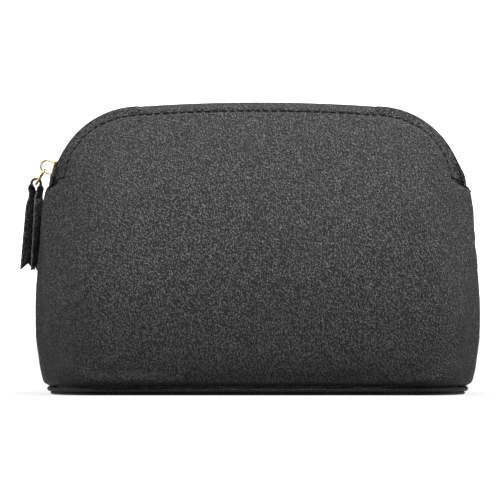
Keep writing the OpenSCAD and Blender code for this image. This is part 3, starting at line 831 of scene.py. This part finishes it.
def end_tab(name, side, tip):
    """Tab along the shoulder's arc; its tip stands out of the side seam."""
    def arc(n, low, high, count):
        a = np.radians(np.linspace(low, high, count))
        return np.stack([(SHOULDER_R + n) * np.cos(a), (SHOULDER_R + n) * np.sin(a)], -1)
    reach = SHOULDER_R + TAB_LOW + TAB_T
    nose = [[reach + 0.8 * tip, 1.9], [reach + tip, 1.3], [reach + 0.97 * tip, 1.0], [reach + tip / 4, -1.7]]
    outline = np.concatenate([arc(TAB_LOW, -2.5, 8.4, 9), arc(TAB_LOW + TAB_T, 8.0, 3, 6), nose])
    middle = outline.mean(0)
    rings = []
    for y, share in ((-TAB_HALF, 0.86), (-TAB_HALF + 0.15, 0.95), (-TAB_HALF + 0.5, 1.0),
                     (TAB_HALF - 0.5, 1.0), (TAB_HALF - 0.15, 0.95), (TAB_HALF, 0.86)):
        shape = middle + (outline - middle) * share
        place = [side * (SHOULDER_X + shape[:, 0]), np.full(len(shape), y), SHOULDER_Z + shape[:, 1]]
        rings.append(np.stack(place, -1))
    skins = Skins()
    skins.add(np.array(rings), flip=side > 0)
    finish_piece(skins.build(name), "bag", "outer_leather", f"zip_end_{name}")


end_tab("tab_right", 1, 2.6)
end_tab("tab_left", -1, 0.0)

# ---------------------------------------------------------------- slider, bail and ring
SLIDER_LEN, SLIDER_W = 9.6, 7.8
PLATE_LOW, PLATE_T, PLATE_DOME = 0.2, 1.1, 0.5
PLATE_TOP = PLATE_LOW + PLATE_T
UNDER_TOP = TOOTH_MID - TOOTH_H / 2 - 0.3
FLANGE_W = 0.8
BAIL_WIRE, BAIL_HALF, BAIL_LEG, BAIL_SHIFT = 0.95, 3.1, 3.3, 0.65

skins = Skins()
zip_block(skins, slider_s, 0, PLATE_LOW, PLATE_TOP + PLATE_DOME, SLIDER_LEN, SLIDER_W, 1.6, 0.4)
zip_block(skins, slider_s, 0, UNDER_TOP - PLATE_T, UNDER_TOP, SLIDER_LEN, SLIDER_W, 1.6, 0.3)
flange_levels = ((TOOTH_MID + 0.6, PLATE_TOP - 0.3), (UNDER_TOP - PLATE_T + 0.3, TOOTH_MID - 0.6))
for y in (-SLIDER_W / 2 + FLANGE_W / 2, SLIDER_W / 2 - FLANGE_W / 2):
    for low, high in flange_levels:
        zip_block(skins, slider_s, y, low, high, SLIDER_LEN - 2.8, FLANGE_W, 0.35, 0.1)
zip_block(skins, slider_s - SLIDER_LEN / 2 + 1.5, 0, UNDER_TOP - 0.1, PLATE_LOW + 0.1, 2.6, 0.5, 0.2, 0.05)
finish_piece(skins.build("slider_shell"), "slider", "slider_metal", "slider_body")

a = np.linspace(0, math.pi, 25)
along = BAIL_SHIFT + BAIL_HALF * np.concatenate([np.ones(6), np.cos(a)[1:-1], -np.ones(6)])
above = np.concatenate([np.linspace(0, BAIL_LEG, 6), BAIL_LEG + BAIL_HALF * np.sin(a)[1:-1],
                        np.linspace(BAIL_LEG, 0, 6)])
x, z, tilt = arch_at(slider_s)
path = np.stack([x + along * np.cos(tilt) + (PLATE_TOP + above) * np.sin(tilt), 0 * along,
                 z - along * np.sin(tilt) + (PLATE_TOP + above) * np.cos(tilt)], -1)
flare = 1 + 0.35 * np.exp(-(above / 0.5) ** 2)
skins = Skins()
skins.add(tube(path, BAIL_WIRE / 2 * flare, 14, (0, 1, 0)))
finish_piece(skins.build("bail_wire"), "slider", "slider_metal", "slider_bail")

# The ring's wire is bent round from one cut end to the other.
RING_WIRE = 1.2
ring_r = np.linalg.norm(hook - hang) / 2
lean = unit(hook - hang)
CUT_HALF = 0.03
a = np.linspace(CUT_HALF, 2 * math.pi - CUT_HALF, 73)[:, None] + math.pi / 2
path = (hook + hang) / 2 + ring_r * (np.cos(a) * lean + np.sin(a) * np.array([0, 1, 0]))
skins = Skins()
skins.add(tube(path, RING_WIRE / 2, 16, np.cross(lean, (0, 1, 0))))
finish_piece(skins.build("ring_wire"), "ring", "slider_metal", "jump_ring")

# ---------------------------------------------------------------- folded strap
STRAP_LEAN = math.radians(4.2)
STRAP_W, NECK_W, STRAP_T, STRAP_L = 9.0, 5.4, 1.3, 43.4
LEAF_X = 1.7 + STRAP_T / 2
NECK_END, WIDE_START = 3.0, 12.0
FOLD_Z = 0.4
NOTCH = 3.5
PINCH, STITCH_Z = 0.25, -6.0
# Turn of both leaves about the strap's length just below the fold, and of each leaf at its end
TOP_TURN = math.radians(36)
END_TURNS = (math.radians(52), math.radians(18))
# The outer leaf hangs this share of its distance at the fold from the strap's middle
OUTER_SHARE = 0.5


def on_strap(points):
    x, y, z = np.moveaxis(points, -1, 0)
    turned = [x * math.cos(STRAP_LEAN) + z * math.sin(STRAP_LEAN), y,
              z * math.cos(STRAP_LEAN) - x * math.sin(STRAP_LEAN)]
    return hang + np.stack(turned, -1)


def leaf_distance(z, outer):
    """Distance of a leaf from the strap's middle, as a share of that at the fold."""
    pinch = 1 - PINCH * np.exp(-((z - STITCH_Z) / 2.6) ** 2)
    return pinch * (1 - outer * (1 - OUTER_SHARE) * ease(-z / (0.2 * STRAP_L)))


# Rows run up the outer leaf, over the fold and down the inner leaf; c runs across the strap.
LEAF_ROWS, FOLD_ROWS = 70, 24
c = np.linspace(1, -1, 41)[None]
share = np.linspace(0, 1, LEAF_ROWS)[:, None]
fold = np.linspace(math.pi, 0, FOLD_ROWS)[:, None]
ends = -STRAP_L + NOTCH * (1 - np.abs(c))
leaf_z = ends + share * (FOLD_Z - ends)
path_z = np.concatenate([leaf_z, FOLD_Z + LEAF_X * np.sin(fold)[1:-1] + 0 * c, leaf_z[::-1]])
path_x = np.concatenate([0 * leaf_z - LEAF_X, LEAF_X * np.cos(fold)[1:-1] + 0 * c, 0 * leaf_z + LEAF_X])
facing = np.concatenate([math.pi + 0 * share, fold[1:-1], 0 * share])
end_turn = np.where(path_x < 0, *END_TURNS)
down = np.clip(-path_z / STRAP_L, 0, 1)
turn = TOP_TURN * ease((FOLD_Z - path_z) / 2.4) + (end_turn - TOP_TURN) * down ** 0.8
path_x = path_x * leaf_distance(path_z, path_x < 0)
half_w = (NECK_W + (STRAP_W - NECK_W) * ease((-path_z - NECK_END) / (WIDE_START - NECK_END))) / 2
y = c * half_w
from_edge = np.clip(half_w - np.abs(y), 0, STRAP_T / 2)
half_t = np.sqrt(STRAP_T ** 2 / 4 - 0.85 * (STRAP_T / 2 - from_edge) ** 2)
grids = []
for side in (1, -1):
    d = side * half_t
    out = d * np.cos(facing)
    grids.append(on_strap(np.stack([path_x + out * np.cos(turn) + y * np.sin(turn),
                                    y * np.cos(turn) - out * np.sin(turn), path_z + d * np.sin(facing)], -1)))
finish_piece(closed_sheet("strap_leather", *grids), "pull", "pull_leather", "pull_strap")

# One thread goes round through both leaves and shows as a short bar on each face.
STITCH_Y, THREAD_R = 1.2, 0.3
faces = [side * LEAF_X * leaf_distance(STITCH_Z, side < 0) * math.cos(TOP_TURN) + side * (STRAP_T / 2 + 0.12)
         for side in (-1, 1)]
loop = rounded(2 * STITCH_Y, faces[1] - faces[0], 0.4, 5) + np.array([(faces[0] + faces[1]) / 2, 0])
x = loop[:, 0] * math.cos(TOP_TURN) + loop[:, 1] * math.sin(TOP_TURN)
y = loop[:, 1] * math.cos(TOP_TURN) - loop[:, 0] * math.sin(TOP_TURN)
path = on_strap(np.column_stack([x, y, np.full(len(loop), STITCH_Z)]))
skins = Skins()
skins.add(tube(path, THREAD_R, 10, (0, 0, 1), closed=True), closed=True)
finish_piece(skins.build("strap_thread"), "pull", "thread", "pull_stitches")


# ---------------------------------------------------------------- studio
STAGE_SIDE, STAGE_FRONT, STAGE_BACK, BACKDROP_H = 600, -1400, 1500, 900
SURROUND = 6000
DARK_PAINT, WHITE_PAINT = (0.012, 0.012, 0.012), (0.9, 0.9, 0.9)
# Width, in metres, of the painted contact shadow round the base.
SHADE_WIDTH = 0.06


def stage_plane(name, corners, color, glow, shade=0.0, faces=((0, 1, 2, 3),)):
    """Surface outside the object, hidden from diffuse rays. Its glow fades by shade near the base, which is a
    painted contact shadow.
    """
    obj = make_object(name, corners, faces)
    m = Nodes(name)
    x, y, _ = m.new("ShaderNodeSeparateXYZ", {"Vector": m.place()}).outputs
    gaps = []
    for way, reach in ((x, BASE_W), (y, BASE_D)):
        gap = m.math("SUBTRACT", m.math("ABSOLUTE", way), reach / 2 * MM - SHADE_WIDTH / 3)
        gaps.append(m.math("MAXIMUM", gap, 0.0))
    gap = m.math("SQRT", m.math("ADD", *(m.math("POWER", each, 2.0) for each in gaps)))
    # Painted contact shadow: the glow is dimmer close to the base's outline.
    tone = m.ramp(gap, 0.0, SHADE_WIDTH, 1 - shade, 1.0)
    m.shade(color=color, rough=0.9, specular=0.1)
    shader = m.tree.nodes["Principled BSDF"]
    m.put(shader.inputs["Emission Color"], m.mix(tone, (0, 0, 0), (1, 1, 1)))
    shader.inputs["Emission Strength"].default_value = glow
    obj.data.materials.append(m.material)
    obj.visible_diffuse = False
    return obj


def area_light(name, place, target, size, power):
    light = bpy.data.lights.new(name, "AREA")
    light.shape = "RECTANGLE"
    light.size, light.size_y = size
    light.energy = power
    obj = bpy.data.objects.new(name, light)
    bpy.context.scene.collection.objects.link(obj)
    obj.location = place
    obj.rotation_euler = (Vector(target) - Vector(place)).to_track_quat("-Z", "Y").to_euler()


# The floor carries a painted contact shadow round the base.
stage_plane("floor", [(-STAGE_SIDE, STAGE_FRONT, 0), (STAGE_SIDE, STAGE_FRONT, 0),
                      (STAGE_SIDE, STAGE_BACK, 0), (-STAGE_SIDE, STAGE_BACK, 0)], DARK_PAINT, 0.99, 0.25)
stage_plane("backdrop", [(-STAGE_SIDE, STAGE_BACK, 0), (STAGE_SIDE, STAGE_BACK, 0),
                         (STAGE_SIDE, STAGE_BACK, BACKDROP_H), (-STAGE_SIDE, STAGE_BACK, BACKDROP_H)],
            WHITE_PAINT, 1.0)
# A white box round everything, which only the camera sees
ways = (-SURROUND, SURROUND)
surround_corners = [(x, y, z) for z in (-1, SURROUND) for y in ways for x in ways]
surround = stage_plane("surround", surround_corners, DARK_PAINT, 1.0, faces=[
    (0, 1, 3, 2), (4, 5, 7, 6), (0, 1, 5, 4), (2, 3, 7, 6), (0, 2, 6, 4), (1, 3, 7, 5)])
surround.visible_glossy = surround.visible_shadow = False
middle = (0, 0, 0.07)
area_light("top_softbox", (0.1, -0.06, 0.9), middle, (0.6, 0.3), 32)
area_light("left_softbox", (-1.0, -0.12, 0.35), middle, (0.3, 0.8), 17)
area_light("right_softbox", (1.0, -0.12, 0.35), middle, (0.3, 0.8), 18)

scene = bpy.context.scene
scene.world = bpy.data.worlds.new("white_studio")
scene.world.use_nodes = True
background = scene.world.node_tree.nodes["Background"]
background.inputs["Color"].default_value = (1, 1, 1, 1)
background.inputs["Strength"].default_value = 0.06
scene.view_settings.view_transform = "Standard"

# ---------------------------------------------------------------- camera
VIEW_WIDTH = 0.2525
DISTANCE = 3.0
ELEVATION = math.radians(0.3)
AIM = Vector((-0.0039, 0, (BAG_H / 2 - 1) * MM))
camera = bpy.data.objects.new("camera", bpy.data.cameras.new("camera"))
scene.collection.objects.link(camera)
camera.location = AIM + DISTANCE * Vector((0, -math.cos(ELEVATION), math.sin(ELEVATION)))
camera.rotation_euler = (AIM - camera.location).to_track_quat("-Z", "Y").to_euler()
camera.data.lens = camera.data.sensor_width * DISTANCE / VIEW_WIDTH
scene.camera = camera
